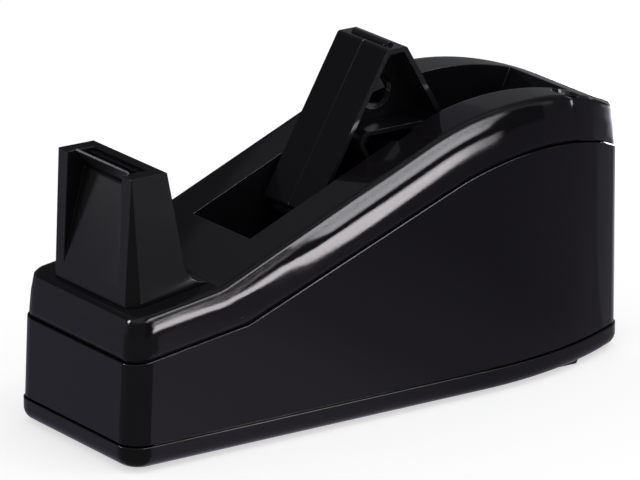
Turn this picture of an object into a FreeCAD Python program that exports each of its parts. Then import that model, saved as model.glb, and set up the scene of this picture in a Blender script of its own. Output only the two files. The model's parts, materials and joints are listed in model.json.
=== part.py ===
"""Weighted desktop tape dispenser for rolls on a 76 mm core.

A gloss moulded lower body and top cover stand on a base pan that carries steel ballast.
The cover holds the tape well, a cutter tower stands on its nose, and a three-lobed reel
spins on an axle that drops into two open grooves in the walls of the well.

Frame: millimetres, +Z up, +X from the cutter to the rear, origin on the desk under the
middle of the body.
"""
import FreeCAD, Part
import math
import os

V = FreeCAD.Vector
OUT = "parts"

# ---------------------------------------------------------------- driving dimensions
BODY_LENGTH = 213.0          # lower body, at its bottom edge
BODY_WIDTH = 70.6
FRONT_CORNER_R = 7.5         # plan corners at the nose
REAR_SWEEP_LENGTH = 69.0     # plan corners at the rear are half ovals of two arcs
REAR_SWEEP_DEPTH = 23.5
REAR_CORNER_R = 9.0          # the tighter of the two arcs
FRONT_DRAFT = 2.7            # degrees

PAD_PROUD = 1.0              # rubber pads below the pan
PAN_HEIGHT = 7.7
PAN_LIP = 0.5                # the pan stands out this far past the body
PAN_EDGE_R = 4.3

FRONT_SLOPE = 8.2            # degrees, nose of both the cover and the parting line
SPLIT_KINK_X = 47.2          # from the front edge; heights are above the pan
SPLIT_KINK_H = 35.0
SPLIT_RAMP = 21.06
COVER_PEAK = 17.6            # height of the cover above the parting line at the two peaks
COVER_REAR = 14.2            # and at the rear end
SPLIT_KINK_R = 8.0
TOP_KINK_X = 37.8
TOP_KINK_H = 48.5
TOP_RAMP = 22.7
TOP_PEAK_H = 91.6
TOP_REAR_H = 77.0            # height at the rear end, which sets the radius of the arch
TOP_KINK_R = 15.0
COVER_INSET = 0.6            # the cover is set in from the lower body
SHOULDER_FOOT = 1.2          # upright strip left below the shoulder at the rear end
SHOULDER_CURVE_R = 62.0      # the wall curves in above it, followed by two leaning bands
SHOULDER_EDGE = 1.0          # chamfer of the top edge
WALL_TILT = 0.05             # faces whose normal rises less than this are walls

WALL = 2.4
INNER_NOSE = 2.0             # the inside of the nose stands upright, this far behind the draft
SKIRT = 1.6                  # skirt of the cover inside the lower body
SKIRT_REACH = 3.0            # above and below the parting line
UNDER_SKIN = 0.5             # inner ribs and walls run this far into the top of the cover
WELL_WALL = 1.8
CORE_DIAMETER = 76.0         # paper core of the tape roll
ROLL_DIAMETER = 120.0        # largest roll
ROLL_CLEARANCE = 4.0         # between the largest roll and the floor of the well
AXLE_SHARE = 0.5676          # place of the axle along the body's length
AXLE_H = 75.3                # above the pan
WELL_WIDTH = 34.0
WELL_REAR = 21.0             # rear end of the well at the rim, from the rear edge
WELL_RISE = 14.0             # the rear of the well flares out from here, above the axle

REEL_WIDTH = 29.0
REEL_TIP_WIDTH = 8.0
REEL_SKIN = 1.8
REEL_WEB = 2.4               # both halves together
REEL_CORNER_R = 1.5
PARTING = 0.25               # chamfer along the joint between the two halves
WINDOW_DIAMETER = 13.4
WINDOW_RADIUS = 19.7         # window centres from the axle
HUB_FLAT = 10.3              # axle to the flats of the hub
HUB_CORNER_R = 4.1
HUB_WALL = 1.6
BEARING_DIAMETER = 10.0
SPOKE = 1.6
SPOKE_INSET = 2.0            # the spokes stop this far inside the open faces

AXLE_DIAMETER = 6.0
SPIGOT_DIAMETER = 4.0
SHOE_SIZE = 7.0              # square shoes on the ends of the axle
SHOE_DEPTH = 2.0             # they reach this far into the walls of the well
SHOE_END = 0.8               # closed end of each shoe
SHOE_EDGE = 0.6
BEARING_WALL = 3.5           # thickened well wall round the grooves

GRIP_DIAMETER = 4.0
GRIP_LENGTH = 21.0
GRIP_PROUD = 1.2
GRIP_TRAVEL = 1.0
GRIP_SHOE_WIDTH = 6.4
GRIP_SHOE = 1.4
GRIP_TOE = 0.6               # the shoe is longer than the bar by this at each end
GRIP_ROOM = 0.4              # spare depth under a pressed-in grip
STEM_WIDTH = 3.2             # between the bar and its shoe
STEM_INSET = 1.5             # at each end of the bar

TOWER_FRONT_X = 7.1          # at its foot, from the front edge
TOWER_TOP_FRONT_X = 9.6
TOWER_TOP_REAR_X = 23.4
TOWER_TOP_H = 88.2
TOWER_TOP_WIDTH = 44.4
TOWER_FOOT_WIDTH = 50.4
TOWER_FOOT_H = 40.5          # height at which that width holds
TOWER_FOOT_REAR_X = 37.2
TOWER_REAR_DRAFT = 9.6       # degrees
TOWER_FLARE_H = 58.0         # the foot flares out below this height
TOWER_FOOT_LIP = 0.6         # height of the flare's thin edge above the deck
TOWER_SEAT = 1.0             # the foot is cut to the cover from this much below its deck
TOWER_CHAMFER = 4.0          # front corners at the foot, fading to nothing at the top
RECESS_WIDTH = 32.8
PANEL_FOOT_H = 50.0
PANEL_TOP_H = 82.7
PANEL_TOP_X = 16.2
SLOT_REAR_X = 19.6
SLOT_DEPTH = 7.7
BLADE_THICK = 0.6
BLADE_LEAN = 37.0            # degrees, forward
BLADE_WIDTH = 32.0
BLADE_BELOW = 2.0            # the blade starts this far below the top of the panel
BLADE_PROUD = 0.6            # and ends this far past the top of the tower
TOOTH_PITCH = 1.25
TOOTH_HEIGHT = 0.9
HOLDER_DROP = 1.0            # rear lip of the carrier below the top of the tower
HOLDER_LIP = 2.0             # thickness of that lip
HOLDER_STEP = 2.0            # the rest of the carrier lies this far below the lip

BALLAST_FRONT_X = 28.0
BALLAST_REAR = 41.0          # from the rear edge
BALLAST_SIDE = 8.3           # from each side of the body
BALLAST_THICK = 9.0
BALLAST_BLOCK_LENGTH = 25.0
BALLAST_BLOCK_HEIGHT = 20.0
BALLAST_EDGE = 1.0           # chamfers of both pieces
BALLAST_STEP = 3.0           # the block is this much narrower on each side
FENCE = 1.6                  # low frame on the pan floor that locates the ballast
FENCE_HEIGHT = 4.0

SCREW_X_FRONT = 14.0
SCREW_SIDE_FRONT = 11.3      # from the side of the body
SCREW_REAR = 12.0            # from the rear edge
SCREW_SIDE_REAR = 2.8        # from the swept corner, along the flat of the rear
SCREW_HEAD_DIAMETER = 6.0
SCREW_HEAD_DEPTH = 3.5       # counterbore below the pan floor
PILLAR_SIZE = 8.0            # square posts of the cover that stand on the pan's bosses
BOSS_TOP_H = 6.0             # above the pan
BOSS_MARGIN = 1.0            # the bosses stand out round the posts
PAD_LENGTH = 22.0
PAD_WIDTH = 11.0
PAD_THICK = 2.0
PAD_CORNER = 3.0
PAD_INSET_X = 32.0
PAD_INSET_Y = 15.3
PEN_BORE = 8.4
PEN_LIP = 1.2                # chamfer round the mouth
PEN_DEPTH = 40.0
PEN_WALL = 1.6
PEN_REAR = 28.0              # from the rear edge
PEN_SIDE = 6.4               # from the swept side of the body

# named clearances
STEP_SINK = 0.4              # the step reaches this much further out than half the wall
STEP_WIDTH = 1.6             # step of the pan under the body wall
SPLIT_GAP = 0.4              # cover to lower body
GROOVE = 0.6                 # visible groove between pan and lower body
SKIRT_GAP = 0.35             # cover skirt inside the lower body
RUNNING_FIT = 0.05           # radial, shaft in hole
SLIDE_GAP = 0.3              # shoes in their grooves, grips in their slots
SCREW_HOLE_GAP = 0.2         # radial, screws in the pan
PAD_GAP = 0.1                # pads in their recesses
BALLAST_GAP = 0.3            # ballast in its frame
CORE_GAP = 0.2               # tips of the reel inside the paper core
BLADE_GAP = 0.2              # foot of the blade behind the panel

# ---------------------------------------------------------------- derived places
PAN_TOP = PAD_PROUD + PAN_HEIGHT
FRONT = -BODY_LENGTH / 2
AXLE = V(FRONT + AXLE_SHARE * BODY_LENGTH, 0, PAN_TOP + AXLE_H)
WELL_R = ROLL_DIAMETER / 2 + ROLL_CLEARANCE
BALLAST_WIDTH = BODY_WIDTH - 2 * BALLAST_SIDE
TIP_R = math.sqrt((CORE_DIAMETER / 2) ** 2 - (REEL_TIP_WIDTH / 2) ** 2) - CORE_GAP
PLATE_R = (TIP_R + math.cos(math.radians(30)) * REEL_TIP_WIDTH) / 2
HIGHEST = PAN_TOP + TOP_PEAK_H
SPLIT_PEAK_H = TOP_PEAK_H - COVER_PEAK
SPLIT_REAR_H = TOP_REAR_H - COVER_REAR
SHOULDER_DROP = COVER_REAR - SHOULDER_FOOT
REACH = 400.0                # longer than anything it cuts
OVER = 10.0                  # cutting and trimming bodies run this far past what they cut
SINK = 1.0                   # pieces of one solid run this far into each other


def rad(degrees):
    return math.radians(degrees)


def bx(x0, x1, y0, y1, z0, z1):
    """Box between two corners."""
    return Part.makeBox(x1 - x0, y1 - y0, z1 - z0, V(x0, y0, z0))


def rod(centre, radius, length, axis=V(0, 0, 1)):
    """Cylinder that starts at centre and runs along axis."""
    return Part.makeCylinder(radius, length, centre, axis)


def line(p, q):
    return Part.LineSegment(p, q).toShape()


def prism_y(points, width):
    """Polygon of (x, z) points extruded symmetrically about the middle plane."""
    ring = [V(x, -width / 2, z) for x, z in points]
    return Part.Face(Part.makePolygon(ring + ring[:1])).extrude(V(0, width, 0))


def fuse(shapes):
    """One clean solid out of several."""
    return shapes[0].multiFuse(shapes[1:]).removeSplitter()


def write(name, shape):
    """Write one sub-part as its own solid."""
    solid = shape.Solids[0] if len(shape.Solids) == 1 else shape
    solid.exportStep(os.path.join(OUT, name + ".step"))


# ---------------------------------------------------------------- body outline and profiles
def nose_outline(inset, z):
    """Plan outline with the round corners of the nose, run straight back past the rear."""
    half = BODY_WIDTH / 2 - inset
    x0 = FRONT + inset + (z - PAN_TOP) * math.tan(rad(FRONT_DRAFT))
    r = FRONT_CORNER_R - inset
    c = r * (1 - math.sqrt(0.5))
    edges = [
        Part.Arc(V(x0, r - half, z), V(x0 + c, c - half, z), V(x0 + r, -half, z)).toShape(),
        line(V(x0 + r, -half, z), V(REACH, -half, z)),
        line(V(REACH, -half, z), V(REACH, half, z)),
        line(V(REACH, half, z), V(x0 + r, half, z)),
        Part.Arc(V(x0 + r, half, z), V(x0 + c, half - c, z), V(x0, half - r, z)).toShape(),
        line(V(x0, half - r, z), V(x0, r - half, z)),
    ]
    return Part.Face(Part.Wire(edges))


def rear_sweep(inset):
    """Length, depth and the tight and wide radius of the swept corners of the rear."""
    a, b, r = REAR_SWEEP_LENGTH - inset, REAR_SWEEP_DEPTH - inset, REAR_CORNER_R - inset
    return a, b, r, ((a - r) ** 2 + b * b - r * r) / (2 * (b - r))


def half_width(x):
    """Half of the body's width at x, on the wide arc of the sweep."""
    a, b, r, big = rear_sweep(0)
    run = x - (-FRONT - a)
    return BODY_WIDTH / 2 - big + math.sqrt(big * big - run * run)


def tail_outline(inset, z):
    """Plan outline with the long swept corners of the rear, run straight out past the nose."""
    half = BODY_WIDTH / 2 - inset
    x1 = -FRONT - inset
    a, b, r, big = rear_sweep(inset)
    turn = math.atan2(a - r, big - b)     # where the two arcs meet

    def sweep(sign):
        def at(cx, cy, radius, t):
            return V(cx + radius * math.sin(t), sign * (cy + radius * math.cos(t)), z)

        wide = [at(x1 - a, half - big, big, t) for t in (0, turn / 2, turn)]
        tight = [at(x1 - r, half - b, r, t) for t in (turn, (turn + rad(90)) / 2, rad(90))]
        return [Part.Arc(*wide).toShape(), Part.Arc(*tight).toShape()]

    edges = sweep(1) + sweep(-1) + [
        line(V(x1, b - half, z), V(x1, half - b, z)),
        line(V(x1 - a, half, z), V(-REACH, half, z)),
        line(V(-REACH, half, z), V(-REACH, -half, z)),
        line(V(-REACH, -half, z), V(x1 - a, -half, z)),
    ]
    return Part.Face(Part.Wire(Part.__sortEdges__(edges)))


def body_block(inset, z0, z1):
    """Block with the body's outline, set in by inset, whose nose leans back by the draft."""
    tail = tail_outline(inset, z0).extrude(V(0, 0, z1 - z0))
    nose = nose_outline(inset, z0).extrude(V((z1 - z0) * math.tan(rad(FRONT_DRAFT)), 0, z1 - z0))
    return tail.common(nose)


def flat_block(inset, z0, z1):
    """The same block with an upright nose, for the pan."""
    tail = tail_outline(inset, z0).extrude(V(0, 0, z1 - z0))
    nose = nose_outline(inset, PAN_TOP).extrude(V(0, 0, REACH))
    nose.translate(V(0, 0, z0 - PAN_TOP))
    return tail.common(nose)


def inner_block(inset, z0, z1):
    """Upright block for the hidden insides: the outline with its round corners cut straight."""
    half = BODY_WIDTH / 2 - inset
    x0 = FRONT + inset + INNER_NOSE
    x1 = -FRONT - inset
    a, b, r, big = rear_sweep(inset)
    middle = big - math.sqrt(big * big - a * a / 4)
    cut = FRONT_CORNER_R - inset
    side = [V(x0, half - cut, z0), V(x0 + cut, half, z0), V(x1 - a, half, z0),
            V(x1 - a / 2, half - middle, z0), V(x1 - r, half - b + r, z0), V(x1, half - b, z0)]
    other = [V(p.x, -p.y, z0) for p in reversed(side)]
    return Part.Face(Part.makePolygon(side + other + side[:1])).extrude(V(0, 0, z1 - z0))


def arch_radius(kink_x, kink_h, ramp, peak_h, rear_h):
    """Radius of the arch that leaves the ramp smoothly, has its peak at one height and ends at another."""
    turn, sag = math.tan(rad(ramp) / 2), peak_h - rear_h
    run = BODY_LENGTH - kink_x - (peak_h - kink_h) / math.tan(rad(ramp))
    both = run * turn + sag
    return (both - math.sqrt(both ** 2 - turn ** 2 * (run ** 2 + sag ** 2))) / turn ** 2


def below(kink_x, kink_h, ramp, peak_h, rear_h, kink_r, shift=0.0):
    """Everything below a side profile: a sloping nose, rounded kink, ramp and arch.

    shift moves the whole profile up (or down, when negative) along its own normal.
    """
    a1, a2 = rad(FRONT_SLOPE), rad(ramp)
    # the kink of the shifted profile lies on the bisector of the two slopes
    half_turn = (a2 - a1) / 2
    lift = shift / math.cos(half_turn)
    kx = FRONT + kink_x - lift * math.sin((a1 + a2) / 2)
    kz = PAN_TOP + kink_h + lift * math.cos((a1 + a2) / 2)
    r = arch_radius(kink_x, kink_h, ramp, peak_h, rear_h) + shift
    peak = PAN_TOP + peak_h + shift
    cx = kx + (r / math.cos(a2) - kz + peak - r) / math.tan(a2)
    cz = peak - r
    blend = kink_r - shift
    run = blend * math.tan(half_turn)
    x_start = FRONT - OVER
    p_start = V(x_start, 0, kz - (kx - x_start) * math.tan(a1))
    p_a = V(kx - run * math.cos(a1), 0, kz - run * math.sin(a1))
    p_b = V(kx + run * math.cos(a2), 0, kz + run * math.sin(a2))
    mid = (a1 + a2) / 2
    c_blend = p_a + V(-blend * math.sin(a1), 0, blend * math.cos(a1))
    p_m = c_blend + V(blend * math.sin(mid), 0, -blend * math.cos(mid))
    p_t = V(cx - r * math.sin(a2), 0, cz + r * math.cos(a2))

    def on_arch(x):
        return V(x, 0, cz + math.sqrt(r * r - (x - cx) ** 2))

    x_end = -FRONT + OVER
    p_end = on_arch(x_end)
    low = -OVER
    edges = [
        line(p_start, p_a),
        Part.Arc(p_a, p_m, p_b).toShape(),
        line(p_b, p_t),
        Part.Arc(p_t, on_arch((p_t.x + x_end) / 2), p_end).toShape(),
        line(p_end, V(x_end, 0, low)),
        line(V(x_end, 0, low), V(p_start.x, 0, low)),
        line(V(p_start.x, 0, low), p_start),
    ]
    face = Part.Face(Part.Wire(edges))
    face.translate(V(0, -BODY_WIDTH, 0))
    return face.extrude(V(0, 2 * BODY_WIDTH, 0))


def below_top(shift=0.0):
    return below(TOP_KINK_X, TOP_KINK_H, TOP_RAMP, TOP_PEAK_H, TOP_REAR_H, TOP_KINK_R, shift)


def below_split(shift=0.0):
    return below(SPLIT_KINK_X, SPLIT_KINK_H, SPLIT_RAMP, SPLIT_PEAK_H, SPLIT_REAR_H, SPLIT_KINK_R, shift)


def mid_normal(face):
    u0, u1, v0, v1 = face.ParameterRange
    return face.normalAt((u0 + u1) / 2, (v0 + v1) / 2)


def shared_edges(faces_a, faces_b):
    """Edges where one group of faces meets another."""
    found = []
    for face in faces_a:
        for edge in face.Edges:
            if any(edge.isSame(other) for g in faces_b for other in g.Edges):
                found.append(edge)
    return found


# ---------------------------------------------------------------- base
def screw_places():
    half = BODY_WIDTH / 2
    front = FRONT + SCREW_X_FRONT, half - SCREW_SIDE_FRONT
    rear = -FRONT - SCREW_REAR, half - REAR_SWEEP_DEPTH - SCREW_SIDE_REAR
    return [V(x, side * y, 0) for x, y in (front, rear) for side in (-1, 1)]


def pad_places():
    x, y = BODY_LENGTH / 2 - PAD_INSET_X, BODY_WIDTH / 2 - PAD_INSET_Y
    return [V(sx * x, sy * y, 0) for sx in (-1, 1) for sy in (-1, 1)]


def base_pan():
    floor_top = PAD_PROUD + WALL
    solid = flat_block(-PAN_LIP, PAD_PROUD, PAN_TOP)
    bottom = [e for e in solid.Edges if abs(e.BoundBox.ZMax - PAD_PROUD) < 0.01]
    solid = solid.makeFillet(PAN_EDGE_R, bottom)
    step = inner_block(WALL / 2 - STEP_SINK, PAN_TOP - SINK, PAN_TOP + GROOVE)
    room = inner_block(WALL + STEP_WIDTH, floor_top, REACH)
    solid = solid.fuse(step).cut(room)
    bosses = [post(at, PILLAR_SIZE + 2 * BOSS_MARGIN, floor_top - SINK, PAN_TOP + BOSS_TOP_H)
              for at in screw_places()]
    fence = ballast_box(BALLAST_GAP + FENCE, FENCE_HEIGHT).cut(ballast_box(BALLAST_GAP, FENCE_HEIGHT + OVER))
    solid = fuse([solid, fence] + bosses)
    for at in screw_places():
        solid = solid.cut(rod(at, SCREW_HEAD_DIAMETER / 2 + SCREW_HOLE_GAP, PAD_PROUD + SCREW_HEAD_DEPTH))
    for at in pad_places():
        solid = solid.cut(pad_shape(at, PAD_GAP))
    return solid


def post(at, size, z0, z1):
    """Square post with its axis at a place in plan."""
    return bx(at.x - size / 2, at.x + size / 2, at.y - size / 2, at.y + size / 2, z0, z1)


def pad_shape(at, grow=0.0):
    """Rubber pad with cut corners, let into the underside of the pan."""
    half_x, half_y = PAD_LENGTH / 2 + grow, PAD_WIDTH / 2 + grow
    pad = bx(at.x - half_x, at.x + half_x, at.y - half_y, at.y + half_y, 0, PAD_THICK)
    return pad.makeChamfer(PAD_CORNER, [e for e in pad.Edges if abs(e.Length - PAD_THICK) < 0.001])


def ballast_box(grow, height):
    """Box on the pan floor with the ballast plate's outline, grown all round."""
    z0 = PAD_PROUD + WALL
    half = BALLAST_WIDTH / 2 + grow
    return bx(FRONT + BALLAST_FRONT_X - grow, -FRONT - BALLAST_REAR + grow, -half, half, z0, z0 + height)


def ballast_plate():
    plate = ballast_box(0, BALLAST_THICK)
    return plate.makeChamfer(BALLAST_EDGE, [e for e in plate.Edges if e.Length < BALLAST_THICK + 0.01])


def ballast_block():
    z0 = PAD_PROUD + WALL + BALLAST_THICK
    x0 = FRONT + BALLAST_FRONT_X
    half = BALLAST_WIDTH / 2 - BALLAST_STEP
    block = bx(x0, x0 + BALLAST_BLOCK_LENGTH, -half, half, z0, z0 + BALLAST_BLOCK_HEIGHT)
    return block.makeChamfer(BALLAST_EDGE, block.Edges)


# ---------------------------------------------------------------- housing
def lower_body():
    z0 = PAN_TOP + GROOVE
    ring = body_block(0, z0, HIGHEST).cut(inner_block(WALL, z0 - OVER, HIGHEST + OVER))
    return ring.common(below_split(-SPLIT_GAP / 2))


def cover_skin():
    """Outer form of the cover, with the leaning shoulder and the chamfered top edge."""
    block = body_block(COVER_INSET, PAN_TOP, HIGHEST + OVER)
    solid = block.common(below_top()).cut(below_split(SPLIT_GAP / 2)).Solids[0]
    # the first distance of a chamfer is taken on the face that comes first, so the walls lead
    solid = Part.Solid(Part.Shell(facing(solid, -1, 0.5) + facing(solid, 0.5, 1)))
    upper, lower = shoulder_leans()
    tops, walls = facing(solid, 0.5, 1), facing(solid, -WALL_TILT, WALL_TILT)
    solid = solid.makeChamfer(SHOULDER_DROP, 2 * lower, shared_edges(tops, walls))
    tops, bands = facing(solid, 0.5, 1), facing(solid, WALL_TILT, 0.5)
    solid = solid.makeChamfer(SHOULDER_DROP / 2, upper - 2 * lower, shared_edges(tops, bands))
    tops, bands = facing(solid, 0.5, 1), facing(solid, WALL_TILT, 0.5)
    return solid.makeChamfer(SHOULDER_EDGE, shared_edges(tops, bands))


def facing(solid, low, high):
    """Faces whose middle normal has a height between low and high."""
    return [f for f in solid.Faces if low <= mid_normal(f).z <= high]


def shoulder_leans():
    """How far the curved wall has come in at the top edge and half-way up."""
    full = SHOULDER_DROP ** 2 / (2 * SHOULDER_CURVE_R)
    return full, full / 4


def well_space(grow, width):
    """Room for the roll: a drum round the axle that opens upwards and to the rear."""
    drum = rod(V(AXLE.x, -width / 2, AXLE.z), WELL_R + grow, width, V(0, 1, 0))
    rear = -FRONT - WELL_REAR + grow
    wedge = prism_y([(AXLE.x, AXLE.z), (AXLE.x + WELL_R + grow, AXLE.z), (rear, AXLE.z + WELL_RISE),
                     (rear, AXLE.z + WELL_R), (AXLE.x, AXLE.z + WELL_R)], width)
    return fuse([drum, wedge])


def axle_groove():
    """Open-topped square groove for the shoes of the axle, across both walls of the well."""
    half = SHOE_SIZE / 2 + SLIDE_GAP
    half_y = WELL_WIDTH / 2 + SHOE_DEPTH + SLIDE_GAP
    return bx(AXLE.x - half, AXLE.x + half, -half_y, half_y, AXLE.z - SHOE_SIZE / 2, REACH)


def top_cover(skin):
    """Cover with the tape well, the axle grooves and the pen hole moulded in."""
    hollow = inner_block(COVER_INSET + WALL, PAN_TOP - OVER, HIGHEST + OVER).common(below_top(-WALL))
    shell = skin.cut(hollow)
    # skirt that locates inside the lower body
    skirt = inner_block(WALL + SKIRT_GAP, PAN_TOP, HIGHEST)
    skirt = skirt.cut(inner_block(WALL + SKIRT_GAP + SKIRT, PAN_TOP - OVER, HIGHEST + OVER))
    skirt = skirt.common(below_split(SKIRT_REACH)).cut(below_split(-SKIRT_REACH))
    # tape well with its bearing bosses
    well = well_space(WELL_WALL, WELL_WIDTH + 2 * WELL_WALL)
    half = SHOE_SIZE / 2 + SLIDE_GAP + BEARING_WALL
    half_y = WELL_WIDTH / 2 + SHOE_DEPTH + SLIDE_GAP + WELL_WALL
    bearing = bx(AXLE.x - half, AXLE.x + half, -half_y, half_y, AXLE.z - half, HIGHEST)
    pillars = [post(at, PILLAR_SIZE, PAN_TOP + BOSS_TOP_H, HIGHEST) for at in screw_places()]
    mouth, axis = pen_axis()
    sleeve = rod(mouth - axis * (PEN_DEPTH + PEN_WALL), PEN_BORE / 2 + PEN_WALL, REACH, axis)
    room = inner_block(WALL + SKIRT_GAP, PAN_TOP, HIGHEST).common(below_top(-UNDER_SKIN))
    inside = fuse([piece.common(room) for piece in [skirt, well, bearing, sleeve] + pillars])
    solid = fuse([shell, inside])
    solid = solid.cut(well_space(0, WELL_WIDTH)).cut(axle_groove())
    return solid.cut(pen_bore())


def pen_axis():
    """Middle of the pen hole's mouth on the rear rail, and the way it faces."""
    r = arch_radius(TOP_KINK_X, TOP_KINK_H, TOP_RAMP, TOP_PEAK_H, TOP_REAR_H)
    to_rear = math.sqrt(r ** 2 - (r - TOP_PEAK_H + TOP_REAR_H) ** 2)
    dx = to_rear - PEN_REAR
    rise = math.sqrt(r ** 2 - dx ** 2)
    x = -FRONT - PEN_REAR
    return V(x, PEN_SIDE - half_width(x), HIGHEST - r + rise), V(dx / r, 0, rise / r)


def pen_bore():
    """Blind bore with a chamfered mouth."""
    mouth, axis = pen_axis()
    r = PEN_BORE / 2
    bore = rod(mouth - axis * PEN_DEPTH, r, PEN_DEPTH + OVER, axis)
    lip = Part.makeCone(r, r + 2 * PEN_LIP, 2 * PEN_LIP, mouth - axis * PEN_LIP, axis)
    return bore.fuse(lip)


# ---------------------------------------------------------------- cutter tower
def deck_height(x):
    """Height of the sloping nose of the cover at x from the front edge."""
    return PAN_TOP + TOP_KINK_H - (TOP_KINK_X - x) * math.tan(rad(FRONT_SLOPE))


def cutter_tower(cover_form):
    """Tower with a front recess and a top slot, seated on the nose of the cover."""
    top = PAN_TOP + TOWER_TOP_H
    flare = PAN_TOP + TOWER_FLARE_H
    fx, tx, rx = FRONT + TOWER_FRONT_X, FRONT + TOWER_TOP_FRONT_X, FRONT + TOWER_TOP_REAR_X
    flare_x = rx + (top - flare) * math.tan(rad(TOWER_REAR_DRAFT))
    foot = V(FRONT + TOWER_FOOT_REAR_X, 0, deck_height(TOWER_FOOT_REAR_X) + TOWER_FOOT_LIP)
    # the flare is about a quarter-round, so its middle lies at the sine and cosine of 45 degrees
    short = 1 - math.sqrt(0.5)
    bend = V(flare_x + short * (foot.x - flare_x), 0, flare - (1 - short) * (flare - foot.z))
    front = V(fx, 0, deck_height(TOWER_FRONT_X) - TOWER_SEAT)
    p = [front, V(tx, 0, top), V(rx, 0, top), V(flare_x, 0, flare)]
    end = V(foot.x, 0, foot.z - TOWER_FOOT_LIP - TOWER_SEAT)
    flare_arc = Part.Arc(p[3], bend, foot).toShape()
    straight = [line(p[k], p[k + 1]) for k in range(3)]
    side = Part.Wire(straight + [flare_arc, line(foot, end), line(end, p[0])])
    face = Part.Face(side)
    face.translate(V(0, -BODY_WIDTH, 0))
    solid = face.extrude(V(0, 2 * BODY_WIDTH, 0))
    # both flanks lean in towards the top
    low = PAN_TOP + TOWER_FOOT_H
    half_low, half_top = TOWER_FOOT_WIDTH / 2, TOWER_TOP_WIDTH / 2
    ring = [V(-REACH / 2, -half_low, low), V(-REACH / 2, half_low, low), V(-REACH / 2, half_top, top),
            V(-REACH / 2, -half_top, top)]
    solid = solid.common(Part.Face(Part.makePolygon(ring + ring[:1])).extrude(V(REACH, 0, 0)))
    # front corners: a facet that widens from nothing at the top to the chamfer at the foot
    front_low = fx - (front.z - low) * (tx - fx) / (top - front.z)
    for s in (-1, 1):
        tip = V(tx, s * half_top, top)
        a = V(front_low, s * (half_low - TOWER_CHAMFER), low)
        b = V(fx + TOWER_CHAMFER, s * half_low, low)
        facet = Part.Face(Part.makePolygon([tip, a, b, tip]))
        out = facet.normalAt(0, 0)
        if out.y * s < 0:
            out = out * -1
        solid = solid.cut(facet.extrude(out * OVER))
    solid = solid.cut(cover_form)
    # recess between the ribs, open at the top, and the slot behind it
    px, pz = FRONT + PANEL_TOP_X, PAN_TOP + PANEL_TOP_H
    sx, sz = FRONT + SLOT_REAR_X, top - SLOT_DEPTH
    foot_x = fx + (PAN_TOP + PANEL_FOOT_H - p[0].z) * (tx - fx) / (top - p[0].z)
    recess = prism_y([(FRONT - OVER, PAN_TOP + PANEL_FOOT_H), (foot_x, PAN_TOP + PANEL_FOOT_H), (px, pz),
                      (px, sz), (sx, sz), (sx, top + OVER), (FRONT - OVER, top + OVER)], RECESS_WIDTH)
    return solid.cut(recess)


def lean(shape):
    """Turn an upright shape at the origin into the blade's place."""
    shape.rotate(V(0, 0, 0), V(0, 1, 0), -BLADE_LEAN)
    shape.translate(V(FRONT + PANEL_TOP_X + BLADE_GAP, 0, PAN_TOP + PANEL_TOP_H))
    return shape


def blade():
    count = int(BLADE_WIDTH / TOOTH_PITCH)
    half = count * TOOTH_PITCH / 2
    rise = (TOWER_TOP_H - PANEL_TOP_H) / math.cos(rad(BLADE_LEAN)) + BLADE_PROUD
    points = [V(0, -half, -BLADE_BELOW)]
    for k in range(count):
        y = -half + k * TOOTH_PITCH
        points += [V(0, y, rise - TOOTH_HEIGHT), V(0, y + TOOTH_PITCH / 2, rise)]
    points += [V(0, half, rise - TOOTH_HEIGHT), V(0, half, -BLADE_BELOW)]
    strip = Part.Face(Part.makePolygon(points + points[:1])).extrude(V(BLADE_THICK, 0, 0))
    return lean(strip)


def blade_holder():
    """Carrier that fills the back of the slot and backs the leaning blade."""
    top = PAN_TOP + TOWER_TOP_H
    floor = top - SLOT_DEPTH
    sx, lip = FRONT + SLOT_REAR_X, FRONT + SLOT_REAR_X - HOLDER_LIP
    high, low = top - HOLDER_DROP, top - HOLDER_DROP - HOLDER_STEP
    profile = [(FRONT, floor), (sx, floor), (sx, high), (lip, high), (lip, low), (FRONT, low)]
    solid = prism_y(profile, BLADE_WIDTH)
    front = lean(bx(-REACH / 4, BLADE_THICK, -BLADE_WIDTH, BLADE_WIDTH, -REACH / 4, REACH / 4))
    return solid.cut(front)


# ---------------------------------------------------------------- reel
def tip_frame(shape, index):
    """Turn a shape drawn for the upper tip, axle at the origin, to tip number index."""
    shape.rotate(V(0, 0, 0), V(0, 1, 0), 120.0 * index)
    return shape


def three_sided(plate_r, tip_r, corner_r, y0, y1):
    """Prism with three long sides, three blunt tips and rounded edges, along Y."""
    half_tip = (2 * plate_r - tip_r) * math.tan(rad(30))
    ring = []
    for k in range(3):
        c, s = math.cos(rad(120 * k)), math.sin(rad(120 * k))
        for x in (-half_tip, half_tip):
            ring.append(V(c * x + s * tip_r, y0, -s * x + c * tip_r))
    solid = Part.Face(Part.makePolygon(ring + ring[:1])).extrude(V(0, y1 - y0, 0))
    if corner_r == 0:
        return solid
    return solid.makeFillet(corner_r, [e for e in solid.Edges if abs(e.Length - (y1 - y0)) < 0.001])


def hub_form(flat, corner_r, y0, y1):
    """Triangular prism along Y with its flats facing the tips of the reel."""
    turns = [rad(60 + 120 * k) for k in range(3)]
    ring = [V(2 * flat * math.sin(t), y0, 2 * flat * math.cos(t)) for t in turns]
    solid = Part.Face(Part.makePolygon(ring + ring[:1])).extrude(V(0, y1 - y0, 0))
    return solid.makeFillet(corner_r, [e for e in solid.Edges if abs(e.Length - (y1 - y0)) < 0.001])


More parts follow.
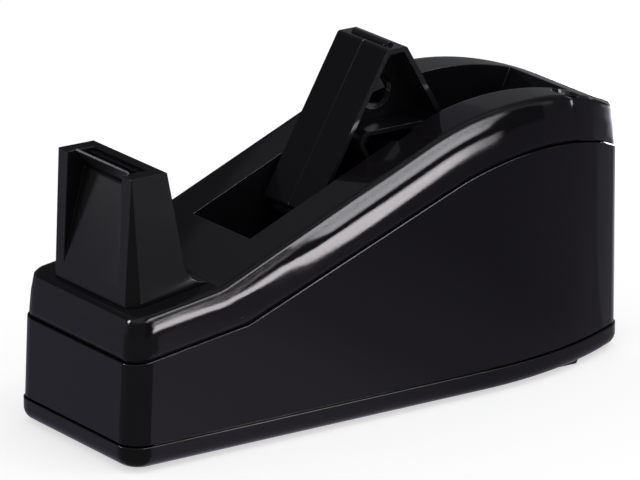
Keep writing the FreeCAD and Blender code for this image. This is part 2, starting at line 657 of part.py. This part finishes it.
def reel_half(side):
    """One moulded half of the reel, drawn for +Y and mirrored for -Y."""
    half = REEL_WIDTH / 2
    web = REEL_WEB / 2
    outer = three_sided(PLATE_R, TIP_R, REEL_CORNER_R, 0, half)
    outer = outer.makeChamfer(PARTING, [e for e in outer.Edges if e.BoundBox.YMax < 0.001])
    inner = three_sided(PLATE_R - REEL_SKIN, TIP_R - REEL_SKIN, 0, web, half + OVER)
    solid = outer.cut(inner)
    hub = hub_form(HUB_FLAT, HUB_CORNER_R, 0, half)
    hub = hub.cut(hub_form(HUB_FLAT - HUB_WALL, HUB_CORNER_R - HUB_WALL, web, half + OVER))
    bearing = rod(V(0, 0, 0), BEARING_DIAMETER / 2, half, V(0, 1, 0))
    solid = fuse([solid, hub, bearing] + [spoke(k, half) for k in range(3)])
    slot_half = GRIP_LENGTH / 2 + SLIDE_GAP
    for k in range(3):
        window = rod(V(0, -SINK, WINDOW_RADIUS), WINDOW_DIAMETER / 2, half, V(0, 1, 0))
        slot_w = GRIP_DIAMETER / 2 + SLIDE_GAP
        slot = fuse([bx(-slot_w, slot_w, -SINK, slot_half - slot_w, grip_floor(), TIP_R + OVER),
                     rod(V(0, slot_half - slot_w, grip_floor()), slot_w, TIP_R + OVER - grip_floor())])
        shoe_w = GRIP_SHOE_WIDTH / 2 + SLIDE_GAP
        shoe = bx(-shoe_w, shoe_w, -SINK, slot_half + 2 * GRIP_TOE, grip_floor(), TIP_R - REEL_SKIN)
        solid = solid.cut(tip_frame(fuse([window, slot, shoe]), k))
    solid = solid.cut(rod(V(0, -SINK, 0), AXLE_DIAMETER / 2 + RUNNING_FIT, half + OVER, V(0, 1, 0)))
    if side < 0:
        solid = solid.mirror(V(0, 0, 0), V(0, 1, 0))
    solid.translate(AXLE)
    return solid


def spoke(index, half):
    """Rib from a corner of the hub to the middle of a side."""
    start, end = 2 * (HUB_FLAT - HUB_CORNER_R), PLATE_R - REEL_SKIN / 2
    rib = bx(-SPOKE / 2, SPOKE / 2, 0, half - SPOKE_INSET, start, end)
    rib.rotate(V(0, 0, 0), V(0, 1, 0), 60.0 + 120.0 * index)
    return rib


def grip_floor():
    """Lowest place that a pressed-in grip reaches, measured from the axle."""
    return TIP_R - REEL_SKIN - SLIDE_GAP - GRIP_SHOE - GRIP_TRAVEL - GRIP_ROOM


def core_grip(index):
    """Round-topped bar in a tip of the reel that presses on the inside of the core."""
    r = GRIP_DIAMETER / 2
    axis_z = TIP_R + GRIP_PROUD - r
    half = GRIP_LENGTH / 2
    bar = rod(V(0, -half, axis_z), r, 2 * half, V(0, 1, 0))
    ends = [rod(V(0, s * (half - r), axis_z - r), r, 2 * r) for s in (-1, 1)]
    middle = bx(-r, r, r - half, half - r, axis_z - r, axis_z + r)
    bar = bar.common(fuse(ends + [middle]))
    shoe_top = TIP_R - REEL_SKIN - SLIDE_GAP
    stem_y, toe_y = half - STEM_INSET, half + GRIP_TOE
    stem = bx(-STEM_WIDTH / 2, STEM_WIDTH / 2, -stem_y, stem_y, shoe_top - GRIP_SHOE / 2, axis_z)
    shoe = bx(-GRIP_SHOE_WIDTH / 2, GRIP_SHOE_WIDTH / 2, -toe_y, toe_y, shoe_top - GRIP_SHOE, shoe_top)
    solid = tip_frame(fuse([bar, stem, shoe]), index)
    solid.translate(AXLE)
    return solid


def reel_axle():
    """Steel pin with a spigot at each end."""
    half = REEL_WIDTH / 2 + SLIDE_GAP
    end = WELL_WIDTH / 2 + SHOE_DEPTH - SHOE_END
    pin = rod(V(0, -half, 0), AXLE_DIAMETER / 2, 2 * half, V(0, 1, 0))
    spigots = rod(V(0, -end, 0), SPIGOT_DIAMETER / 2, 2 * end, V(0, 1, 0))
    solid = fuse([pin, spigots])
    solid.translate(AXLE)
    return solid


def axle_shoe(side):
    """Square plastic end of the axle that drops into a groove of the well."""
    start = REEL_WIDTH / 2 + SLIDE_GAP
    end = WELL_WIDTH / 2 + SHOE_DEPTH
    half = SHOE_SIZE / 2
    solid = bx(-half, half, start, end, -half, half)
    solid = solid.makeChamfer(SHOE_EDGE, [e for e in solid.Edges if abs(e.Length - (end - start)) < 0.001])
    solid = solid.cut(rod(V(0, 0, 0), SPIGOT_DIAMETER / 2 + RUNNING_FIT, end - SHOE_END, V(0, 1, 0)))
    if side < 0:
        solid = solid.mirror(V(0, 0, 0), V(0, 1, 0))
    solid.translate(AXLE)
    return solid


# ---------------------------------------------------------------- build
def main():
    os.makedirs(OUT, exist_ok=True)
    write("base_pan", base_pan())
    for k, at in enumerate(pad_places()):
        write(f"foot_pad_{k + 1}", pad_shape(at))
    write("ballast_plate", ballast_plate())
    write("ballast_block", ballast_block())
    write("lower_body", lower_body())
    skin = cover_skin()
    write("top_cover", top_cover(skin))
    write("cutter_tower", cutter_tower(skin))
    write("blade", blade())
    write("blade_holder", blade_holder())
    write("reel_left", reel_half(-1))
    write("reel_right", reel_half(1))
    for k in range(3):
        write(f"core_grip_{k + 1}", core_grip(k))
    write("reel_axle", reel_axle())
    write("axle_shoe_left", axle_shoe(-1))
    write("axle_shoe_right", axle_shoe(1))


main()
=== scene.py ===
"""Looks of the weighted tape dispenser: gloss and satin black mouldings on a pale studio floor."""
import bpy
import json
import math
from mathutils import Euler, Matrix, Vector


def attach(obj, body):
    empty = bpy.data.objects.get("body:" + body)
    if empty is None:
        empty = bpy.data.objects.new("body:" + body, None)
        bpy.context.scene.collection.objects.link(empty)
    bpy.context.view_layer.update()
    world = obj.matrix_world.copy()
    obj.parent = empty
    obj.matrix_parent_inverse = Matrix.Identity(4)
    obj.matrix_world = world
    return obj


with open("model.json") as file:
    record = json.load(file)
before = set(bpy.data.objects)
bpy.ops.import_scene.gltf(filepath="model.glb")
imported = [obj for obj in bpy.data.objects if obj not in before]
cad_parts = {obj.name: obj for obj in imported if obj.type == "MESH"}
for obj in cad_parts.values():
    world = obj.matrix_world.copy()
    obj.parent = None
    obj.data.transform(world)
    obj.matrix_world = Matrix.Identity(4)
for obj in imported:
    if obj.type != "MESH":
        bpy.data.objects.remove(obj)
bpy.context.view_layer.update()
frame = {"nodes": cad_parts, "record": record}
NODES = frame["nodes"]
MM = 0.001

# ---------------------------------------------------------------- camera
CAMERA_AT = (-1.2718, -1.8376, 0.7695)
CAMERA_AZIMUTH = -34.539      # degrees, turned from looking along +Y
CAMERA_ELEVATION = 17.78
LENS = 390.2                  # on a 36 mm wide sensor


def add_camera():
    camera = bpy.data.objects.new("camera", bpy.data.cameras.new("camera"))
    camera.location = CAMERA_AT
    camera.rotation_euler = Euler((math.radians(90 - CAMERA_ELEVATION), 0, math.radians(CAMERA_AZIMUTH)))
    camera.data.lens = LENS
    camera.data.sensor_width = 36.0
    camera.data.clip_end = 100.0
    bpy.context.scene.collection.objects.link(camera)
    bpy.context.scene.camera = camera


# ---------------------------------------------------------------- materials
def new_material(name):
    material = bpy.data.materials.new(name)
    material.use_nodes = True
    nodes = material.node_tree.nodes
    return material, nodes, material.node_tree.links, nodes["Principled BSDF"]


def noise(nodes, links, scale, detail, stretch=(1, 1, 1)):
    """Noise in object space, which stays put when the piece moves with its body."""
    place = nodes.new("ShaderNodeTexCoord")
    mapping = nodes.new("ShaderNodeMapping")
    mapping.inputs["Scale"].default_value = stretch
    texture = nodes.new("ShaderNodeTexNoise")
    texture.inputs["Scale"].default_value = scale
    texture.inputs["Detail"].default_value = detail
    links.new(place.outputs["Object"], mapping.inputs["Vector"])
    links.new(mapping.outputs["Vector"], texture.inputs["Vector"])
    return texture.outputs["Fac"]


def spread(nodes, links, value, low, high):
    """Noise value stretched to run from low to high."""
    span = nodes.new("ShaderNodeMapRange")
    span.inputs["From Min"].default_value = 0.3
    span.inputs["From Max"].default_value = 0.7
    span.inputs["To Min"].default_value = low
    span.inputs["To Max"].default_value = high
    links.new(value, span.inputs["Value"])
    return span.outputs["Result"]


def add_bump(nodes, links, shader, value, strength, distance, edge=None):
    """Fine relief, on top of edges that are rounded in the shading only."""
    bump = nodes.new("ShaderNodeBump")
    bump.inputs["Strength"].default_value = strength
    bump.inputs["Distance"].default_value = distance
    links.new(value, bump.inputs["Height"])
    if edge is not None:
        bevel = nodes.new("ShaderNodeBevel")
        bevel.samples = 16
        if isinstance(edge, float):
            bevel.inputs["Radius"].default_value = edge
        else:
            links.new(edge, bevel.inputs["Radius"])
        links.new(bevel.outputs["Normal"], bump.inputs["Normal"])
    links.new(bump.outputs["Normal"], shader.inputs["Normal"])


def tint(nodes, links, shader, value, dark, light):
    """Base colour that drifts between two close tones."""
    mix = nodes.new("ShaderNodeMix")
    mix.data_type = "RGBA"
    mix.inputs["A"].default_value = (*dark, 1)
    mix.inputs["B"].default_value = (*light, 1)
    links.new(value, mix.inputs["Factor"])
    links.new(mix.outputs["Result"], shader.inputs["Base Color"])


def within(nodes, links, value, low, high):
    """1 where value lies between low and high."""
    test = nodes.new("ShaderNodeMath")
    test.operation = "COMPARE"
    test.inputs[1].default_value = (low + high) / 2
    test.inputs[2].default_value = (high - low) / 2
    links.new(value, test.inputs[0])
    return test.outputs[0]


def inside(nodes, links, reach_x, reach_y):
    """1 within that reach of the middle of the object, seen from above."""
    place = nodes.new("ShaderNodeTexCoord")
    split = nodes.new("ShaderNodeSeparateXYZ")
    links.new(place.outputs["Object"], split.inputs[0])
    both = nodes.new("ShaderNodeMath")
    both.operation = "MULTIPLY"
    links.new(within(nodes, links, split.outputs["X"], -reach_x, reach_x), both.inputs[0])
    links.new(within(nodes, links, split.outputs["Y"], -reach_y, reach_y), both.inputs[1])
    return both.outputs[0]


RAILS_X, RAILS_Y = 0.090, 0.0275                # the cover's shoulder lies outside this


def shoulder_radius(nodes, links, sharp, soft):
    """Edge radius of the cover: sharp round the well and the pen hole, soft at the shoulder."""
    radius = nodes.new("ShaderNodeMapRange")
    radius.inputs["To Min"].default_value = soft
    radius.inputs["To Max"].default_value = sharp
    links.new(inside(nodes, links, RAILS_X, RAILS_Y), radius.inputs["Value"])
    return radius.outputs["Result"]


def gloss_plastic(name, edge=0.0005, soft_edge=None, index=1.30, rough=(0.04, 0.08)):
    """Black moulding: long faint waves in the surface, and fine scuffs in its roughness."""
    material, nodes, links, shader = new_material(name)
    shader.inputs["IOR"].default_value = index
    waves = noise(nodes, links, 22, 2)
    scuffs = noise(nodes, links, 900, 3, (1, 6, 1))
    tint(nodes, links, shader, waves, (0.0088, 0.0078, 0.0098), (0.0106, 0.0094, 0.0118))
    links.new(spread(nodes, links, scuffs, *rough), shader.inputs["Roughness"])
    if soft_edge is not None:
        edge = shoulder_radius(nodes, links, edge, soft_edge)
        add_bump(nodes, links, shader, waves, 0.03, 0.0001, edge)
        return material
    add_bump(nodes, links, shader, waves, 0.10, 0.0002, edge)
    return material


def satin_plastic():
    """Black moulding with a fine even grain and a drifting roughness."""
    material, nodes, links, shader = new_material("satin_black_plastic")
    shader.inputs["IOR"].default_value = 1.30
    grain = noise(nodes, links, 2600, 4)
    drift = noise(nodes, links, 30, 2)
    tint(nodes, links, shader, drift, (0.0068, 0.0062, 0.0076), (0.0092, 0.0084, 0.0100))
    links.new(spread(nodes, links, drift, 0.15, 0.21), shader.inputs["Roughness"])
    add_bump(nodes, links, shader, grain, 0.14, 0.00003, 0.0006)
    return material


def rubber():
    """Matt black rubber with a coarse grain."""
    material, nodes, links, shader = new_material("black_rubber")
    grain = noise(nodes, links, 1800, 4)
    tint(nodes, links, shader, grain, (0.012, 0.012, 0.012), (0.022, 0.022, 0.021))
    shader.inputs["Roughness"].default_value = 0.85
    add_bump(nodes, links, shader, grain, 0.5, 0.00008)
    return material


def cast_iron():
    """Pitted grey casting."""
    material, nodes, links, shader = new_material("cast_ballast")
    pits = noise(nodes, links, 500, 6)
    tint(nodes, links, shader, pits, (0.06, 0.06, 0.062), (0.14, 0.135, 0.13))
    shader.inputs["Metallic"].default_value = 0.7
    shader.inputs["Roughness"].default_value = 0.6
    add_bump(nodes, links, shader, pits, 0.6, 0.0002)
    return material


def steel(name, tone, stretch):
    """Steel with fine grinding lines."""
    material, nodes, links, shader = new_material(name)
    lines = noise(nodes, links, 700, 3, stretch)
    tint(nodes, links, shader, lines, tuple(0.85 * c for c in tone), tone)
    shader.inputs["Metallic"].default_value = 1.0
    links.new(spread(nodes, links, lines, 0.22, 0.34), shader.inputs["Roughness"])
    add_bump(nodes, links, shader, lines, 0.2, 0.00003)
    return material


def dress(materials, exceptions):
    """Give every CAD node the material of its slot, or its own variant of it."""
    for part in frame["record"]["subparts"]:
        node = NODES[part["node"]]
        node.data.materials.clear()
        node.data.materials.append(exceptions.get(part["node"], materials[part["material_slot"]]))


# ---------------------------------------------------------------- screws under the pan
SCREW_PLACES = [(-92.5, 24.0), (-92.5, -24.0), (94.5, 9.0), (94.5, -9.0)]
SCREW_SEAT = 4.5              # roof of the counterbores
SCREW_HEAD = 2.2
SCREW_RADIUS = 2.9


def ring_of(count, radius, z, sides=0):
    """Circle of points, or a polygon with that many sides, at one height."""
    points = []
    for k in range(count):
        angle = 2 * math.pi * k / count
        reach = radius
        if sides:
            step = 2 * math.pi / sides
            reach = radius * math.cos(step / 2) / math.cos((angle % step) - step / 2)
        points.append((reach * math.cos(angle), reach * math.sin(angle), z))
    return points


def add_screws(material):
    """Button heads with a hexagonal socket, facing down in the counterbores."""
    top, low, r = SCREW_SEAT, SCREW_SEAT - SCREW_HEAD, SCREW_RADIUS
    rings = [(r, top, 0), (r, top - 0.5, 0), (0.95 * r, top - 1.1, 0), (0.82 * r, top - 1.7, 0),
             (0.62 * r, low, 0), (0.45 * r, low, 6), (0.43 * r, low + 0.15, 6), (0.43 * r, low + 1.4, 6),
             (0.05 * r, low + 1.5, 0)]
    count = 48
    for index, (x, y) in enumerate(SCREW_PLACES):
        points = [p for radius, z, sides in rings for p in ring_of(count, radius, z, sides)]
        faces = [tuple(range(count))]
        for level in range(len(rings) - 1):
            for k in range(count):
                a, b = level * count + k, level * count + (k + 1) % count
                faces.append((b, a, a + count, b + count))
        last = (len(rings) - 1) * count
        faces.append(tuple(reversed(range(last, last + count))))
        mesh = bpy.data.meshes.new(f"pan_screw_{index + 1}")
        mesh.from_pydata([((x + px) * MM, (y + py) * MM, pz * MM) for px, py, pz in points], [], faces)
        mesh.materials.append(material)
        screw = bpy.data.objects.new(mesh.name, mesh)
        bpy.context.scene.collection.objects.link(screw)
        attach(screw, "base")


# ---------------------------------------------------------------- studio
LIT_MIDDLE = Vector((0, 0, 0.06))               # cards and lamp face this place in the object
FLOOR_REACH = 20.0


def light_rays(nodes, links):
    """1 for camera, glossy and transmission rays, 0 for the rest."""
    path = nodes.new("ShaderNodeLightPath")
    total = path.outputs["Is Camera Ray"]
    for name in ("Is Glossy Ray", "Is Transmission Ray"):
        top = nodes.new("ShaderNodeMath")
        top.operation = "MAXIMUM"
        links.new(total, top.inputs[0])
        links.new(path.outputs[name], top.inputs[1])
        total = top.outputs[0]
    return total


def add_world():
    """White where it is seen, a dimmer plain grey where it lights."""
    world = bpy.data.worlds.new("studio")
    bpy.context.scene.world = world
    world.use_nodes = True
    nodes, links = world.node_tree.nodes, world.node_tree.links
    seen = nodes["Background"]
    seen.inputs["Color"].default_value = (1, 1, 1, 1)
    seen.inputs["Strength"].default_value = 1.0
    lit = nodes.new("ShaderNodeBackground")
    lit.inputs["Color"].default_value = (1, 1, 1, 1)
    lit.inputs["Strength"].default_value = 0.45
    mix = nodes.new("ShaderNodeMixShader")
    links.new(light_rays(nodes, links), mix.inputs[0])
    links.new(lit.outputs[0], mix.inputs[1])
    links.new(seen.outputs[0], mix.inputs[2])
    links.new(mix.outputs[0], nodes["World Output"].inputs["Surface"])


def staged(name, points, faces):
    mesh = bpy.data.meshes.new(name)
    mesh.from_pydata(points, [], faces)
    obj = bpy.data.objects.new(name, mesh)
    bpy.context.scene.collection.objects.link(obj)
    return obj


def add_floor():
    """Pale floor that reads white and keeps the shadow of the object."""
    reach = FLOOR_REACH
    corners = [(-reach, -reach, 0), (reach, -reach, 0), (reach, reach, 0), (-reach, reach, 0)]
    floor = staged("floor", corners, [(0, 1, 2, 3)])
    material, nodes, links, shader = new_material("pale_floor")
    shader.inputs["Base Color"].default_value = (0.8, 0.8, 0.8, 1)
    shader.inputs["Roughness"].default_value = 0.9
    shader.inputs["Specular IOR Level"].default_value = 0.0
    glow = nodes.new("ShaderNodeEmission")
    glow.inputs["Strength"].default_value = 0.60
    total = nodes.new("ShaderNodeAddShader")
    links.new(shader.outputs[0], total.inputs[0])
    links.new(glow.outputs[0], total.inputs[1])
    pick = nodes.new("ShaderNodeMixShader")
    links.new(light_rays(nodes, links), pick.inputs[0])
    links.new(shader.outputs[0], pick.inputs[1])
    links.new(total.outputs[0], pick.inputs[2])
    links.new(pick.outputs[0], nodes["Material Output"].inputs["Surface"])
    floor.data.materials.append(material)


def glossy_only(card, radiance, tone=(1, 1, 1), stops=None, axis="X"):
    """Card that only reflections see; stops give its glow as (place along the axis, share)."""
    material, nodes, links, shader = new_material(card.name)
    nodes.remove(shader)
    glow = nodes.new("ShaderNodeEmission")
    glow.inputs["Color"].default_value = (*tone, 1)
    glow.inputs["Strength"].default_value = radiance
    if stops is not None:
        first, last = stops[0][0], stops[-1][0]
        place = nodes.new("ShaderNodeTexCoord")
        split = nodes.new("ShaderNodeSeparateXYZ")
        along = nodes.new("ShaderNodeMapRange")
        along.inputs["From Min"].default_value = first
        along.inputs["From Max"].default_value = last
        ramp = nodes.new("ShaderNodeValToRGB")
        ramp.color_ramp.interpolation = "EASE"
        while len(ramp.color_ramp.elements) < len(stops):
            ramp.color_ramp.elements.new(0.5)
        for element, (at, share) in zip(ramp.color_ramp.elements, stops):
            element.position = (at - first) / (last - first)
            element.color = (*[share * c for c in tone], 1)
        links.new(place.outputs["Object"], split.inputs[0])
        links.new(split.outputs[axis], along.inputs["Value"])
        links.new(along.outputs["Result"], ramp.inputs["Fac"])
        links.new(ramp.outputs["Color"], glow.inputs["Color"])
    links.new(glow.outputs[0], nodes["Material Output"].inputs["Surface"])
    card.data.materials.append(material)
    card.visible_camera = False
    card.visible_diffuse = False
    card.visible_shadow = False
    card.visible_transmission = False


def direction(azimuth, elevation):
    """Unit vector towards a compass place: azimuth from +X to +Y, then up."""
    a, e = math.radians(azimuth), math.radians(elevation)
    return Vector((math.cos(e) * math.cos(a), math.cos(e) * math.sin(a), math.sin(e)))


def add_card(name, azimuth, elevation, distance, width, height, radiance):
    """Glossy-only card that faces the object, with its width level."""
    way = direction(azimuth, elevation)
    side = Vector((0, 0, 1)).cross(way).normalized() * (width / 2)
    up = way.cross(side).normalized() * (height / 2)
    middle = LIT_MIDDLE + way * distance
    corners = [middle - side - up, middle + side - up, middle + side + up, middle - side + up]
    glossy_only(staged(name, corners, [(0, 1, 2, 3)]), radiance)


def add_softbox(name, azimuth, elevation, distance, width, height, radiance):
    """Area light that faces the object."""
    data = bpy.data.lights.new(name, "AREA")
    data.shape = "RECTANGLE"
    data.size = width
    data.size_y = height
    data.energy = radiance * math.pi * width * height
    light = bpy.data.objects.new(name, data)
    way = direction(azimuth, elevation)
    light.location = LIT_MIDDLE + way * distance
    light.rotation_euler = (-way).to_track_quat("-Z", "Y").to_euler()
    bpy.context.scene.collection.objects.link(light)


# strip reflectors beside the long shoulder, laid where the camera sees them mirrored in it
VIEW = -direction(270 + CAMERA_AZIMUTH, CAMERA_ELEVATION)    # the way the camera looks
NOSE_X, NOSE_Z = -68.7, 57.2                    # kink of the cover's top edge, mm
NOSE_SLOPE = math.radians(8.2)
RAMP = math.radians(22.7)
ARCH_X, ARCH_Z, ARCH_R = 54.4, 0.2, 100.1
SWEEP_X, SWEEP_R, HALF_WIDTH = 37.5, 140.4, 34.7
STRIP_AWAY = 85.0                               # mm from the side of the body
STRIP_TILT = math.radians(6.0)                  # lean of the shoulder that the strips are laid for
STRIP_STEPS = 82
SHADE_FROM, SHADE_STEP, SHADE_STEPS = -100.0, 4.2, 40    # mm along the rail
SHADE_GAP = 0.3                                 # mm above the top edge
SHADE_Y, SHADE_TOP = -0.0345, 0.130


def top_edge(x):
    """Height of the cover's near top edge, mm: nose, ramp and arch."""
    if x < NOSE_X:
        return NOSE_Z + (x - NOSE_X) * math.tan(NOSE_SLOPE)
    if x < ARCH_X - ARCH_R * math.sin(RAMP):
        return NOSE_Z + (x - NOSE_X) * math.tan(RAMP)
    return ARCH_Z + math.sqrt(ARCH_R ** 2 - (x - ARCH_X) ** 2)


def mirrored(x):
    """Where a ray from the camera that meets the top edge at x goes, STRIP_AWAY from it."""
    turn = math.asin(max(x - SWEEP_X, 0.0) / SWEEP_R)
    side = HALF_WIDTH - SWEEP_R * (1 - math.cos(turn))
    level, rise = math.cos(STRIP_TILT), math.sin(STRIP_TILT)
    normal = Vector((math.sin(turn) * level, -math.cos(turn) * level, rise))
    ray = VIEW - 2 * VIEW.dot(normal) * normal
    start = Vector((x, -side, top_edge(x)))
    out = Vector((math.sin(turn), -math.cos(turn), 0))
    return start + ray * (STRIP_AWAY / ray.dot(out))


# mm: x on the shoulder, then heights from its top edge of the low strip's lower and upper edges
# and of the high strip's lower and upper edges, with the dark gap between the strips
STRIPS = [
    (-170.0, -7.0, -7.0, 24.0, 26.0),
    (-120.0, -8.0, -8.0, 44.0, 120.0),
    (-117.0, -9.0, -6.0, 48.0, 140.0),
    (-108.0, -10.0, -3.5, 56.0, 170.0),
    (-94.5, -10.0, -3.0, 62.0, 170.0),
    (-79.0, -10.8, -5.0, 64.0, 170.0),
    (-59.0, -26.0, -6.2, 6.0, 110.0),
    (-39.0, -32.8, -22.0, -4.6, 68.0),
    (-11.0, -36.2, -27.0, -5.1, 60.0),
    (14.0, -34.6, -29.0, -5.65, 40.0),
    (42.5, -32.6, -27.2, -5.6, 30.0),
    (66.0, -30.0, -29.0, -3.0, 3.0),
]


def strip_heights(x):
    """The four heights at x, straight between the rows of STRIPS."""
    for a, b in zip(STRIPS, STRIPS[1:]):
        if a[0] <= x <= b[0]:
            share = (x - a[0]) / (b[0] - a[0])
            return [p + (q - p) * share for p, q in zip(a[1:], b[1:])]
    raise ValueError("outside the strips")


def add_ribbon(name, low, high, radiance, tone, stops=None):
    """Strip between two of the four heights."""
    points, faces = [], []
    first, last = STRIPS[0][0], STRIPS[-1][0]
    for k in range(STRIP_STEPS + 1):
        x = first + (last - first) * k / STRIP_STEPS
        heights = strip_heights(x)
        for column in (low, high):
            place = mirrored(x)
            place.z = top_edge(x) + heights[column]
            points.append(place * MM)
        if k:
            faces.append((2 * k - 2, 2 * k, 2 * k + 1, 2 * k - 1))
    glossy_only(staged(name, points, faces), radiance, tone, stops)


def add_shade():
    """Dim upright card along the near rail, which keeps the two strips out of tower and reel."""
    points, faces = [], []
    for k in range(SHADE_STEPS + 1):
        x = SHADE_FROM + SHADE_STEP * k
        points += [(x * MM, SHADE_Y, (top_edge(x) + SHADE_GAP) * MM), (x * MM, SHADE_Y, SHADE_TOP)]
        if k:
            faces.append((2 * k - 2, 2 * k, 2 * k + 1, 2 * k - 1))
    stops = [(-0.100, 0.25), (-0.030, 0.25), (-0.010, 0.40), (0.070, 0.40)]
    glossy_only(staged("shade_tower", points, faces), 1.0, (0.95, 0.92, 1.0), stops)


def flat_card(name, corners, radiance, tone=(1, 1, 1), stops=None, axis="X"):
    glossy_only(staged(name, corners, [tuple(range(len(corners)))]), radiance, tone, stops, axis)


def on_floor(corners):
    """Corners of a card that lies 1 mm above the floor."""
    return [(x, y, 0.001) for x, y in corners]


def standing(y, x_low, x_high, z_low, z_high):
    return [(x_low, y, z_low), (x_high, y, z_low), (x_high, y, z_high), (x_low, y, z_high)]


def add_studio():
    add_world()
    add_floor()
    add_softbox("key_softbox", -60, 66, 2.6, 1.4, 1.4, 1.1)
    # two bright bands and the dark gap between them, for the long shoulder
    add_ribbon("strip_low", 0, 1, 26.0, (1.0, 0.95, 0.98), [(0.074, 1.0), (0.098, 0.3), (0.115, 0.0)])
    add_ribbon("strip_gap", 1, 2, 0.02, (1, 1, 1))
    add_ribbon("strip_high", 2, 3, 17.0, (0.95, 0.95, 1.0), [(0.074, 1.0), (0.098, 0.5), (0.120, 0.0)])
    add_shade()
    # small bright cards above and in front, for single edges and the near corner
    add_card("strip_top", -28, 51, 0.9, 0.26, 0.20, 14.0)
    add_card("strip_rim", -83, 59, 0.9, 0.24, 0.24, 22.0)
    flat_card("strip_front", standing(0.285, -0.45, -0.15, 0.088, 0.098), 1.5)
    add_card("spot_corner", 156, 13, 0.42, 0.08, 0.11, 42.0)
    # dim surroundings for the flat faces
    stops = [(-0.60, 0.085), (-0.05, 0.085), (0.02, 0.05), (0.12, 0.04), (0.20, 0.26), (0.32, 0.17),
             (0.60, 0.12)]
    flat_card("card_behind_low", standing(0.30, -0.60, 0.60, 0.002, 0.28), 1.0, (0.93, 0.95, 1.0), stops)
    flat_card("card_behind_high", standing(0.30, -0.60, 1.20, 0.28, 1.60), 0.17, (0.90, 0.95, 1.08))
    flat_card("card_left_low", standing(0.29, -0.60, -0.20, 0.002, 0.084), 0.36, (0.97, 0.96, 1.2))
    flat_card("card_floor_behind", on_floor([(-0.09, 0.03), (0.10, 0.03), (0.20, 0.30), (-0.09, 0.30)]), 0.06)
    stops = [(-0.10, 0.85), (-0.015, 0.72), (0.053, 0.40), (0.136, 0.22), (0.40, 0.18)]
    corners = [(-0.090, -0.020), (-0.099, -0.036), (0.40, -0.84), (1.6, -0.84), (1.6, -0.290), (0.10, -0.020)]
    flat_card("card_front", on_floor(corners), 0.92, (0.98, 0.92, 1.13), stops)
    flat_card("card_left", on_floor([(-0.090, -0.028), (-0.107, -0.028), (-0.878, 0.891), (-0.090, 0.891)]),
              0.32, (0.97, 0.96, 1.25))
    corners = [(-0.107, -0.028), (-0.099, -0.036), (0.40, -0.84), (-1.2, -0.84), (-1.2, 0.891),
               (-0.878, 0.891)]
    flat_card("card_corner", on_floor(corners), 0.20)
    stops = [(-0.12, 0.15), (-0.03, 0.30), (0.03, 1.30), (0.10, 3.60), (0.30, 4.60)]
    corners = [(0.10, -0.020), (1.6, -0.290), (1.6, 0.30), (0.20, 0.30), (0.10, 0.03)]
    flat_card("card_right_floor", on_floor(corners), 1.0, (0.95, 0.94, 1.05), stops, "Y")
    corners = [(-1.2, -0.84, 0.0), (-1.2, 0.891, 0.0), (-1.2, 0.891, 0.45), (-1.2, -0.84, 0.45)]
    flat_card("card_far_left", corners, 0.16)
    flat_card("card_far_front", standing(-0.84, -1.20, 0.20, 0.0, 0.45), 0.16)
    flat_card("card_right", [(1.0, -0.5, 0.0), (1.0, 0.32, 0.0), (1.0, 0.32, 1.8), (1.0, -0.5, 1.8)], 0.12)


# ---------------------------------------------------------------- making
bpy.context.scene.view_settings.view_transform = "Standard"
add_camera()
reel_plastic = gloss_plastic("reel_gloss_plastic", 0.0002, index=1.27, rough=(0.12, 0.18))
axle_steel = steel("axle_steel", (0.55, 0.55, 0.57), (12, 0.2, 12))
dress({
    "gloss_black_plastic": gloss_plastic("gloss_black_plastic"),
    "satin_black_plastic": satin_plastic(),
    "black_rubber": rubber(),
    "cast_ballast": cast_iron(),
    "blade_steel": steel("blade_steel", (0.13, 0.13, 0.14), (1, 0.1, 12)),
    "axle_steel": axle_steel,
    "grip_plastic": gloss_plastic("grip_plastic"),
}, {
    "top_cover": gloss_plastic("cover_gloss_plastic", soft_edge=0.003),
    "reel_left": reel_plastic,
    "reel_right": reel_plastic,
})
add_screws(axle_steel)
add_studio()
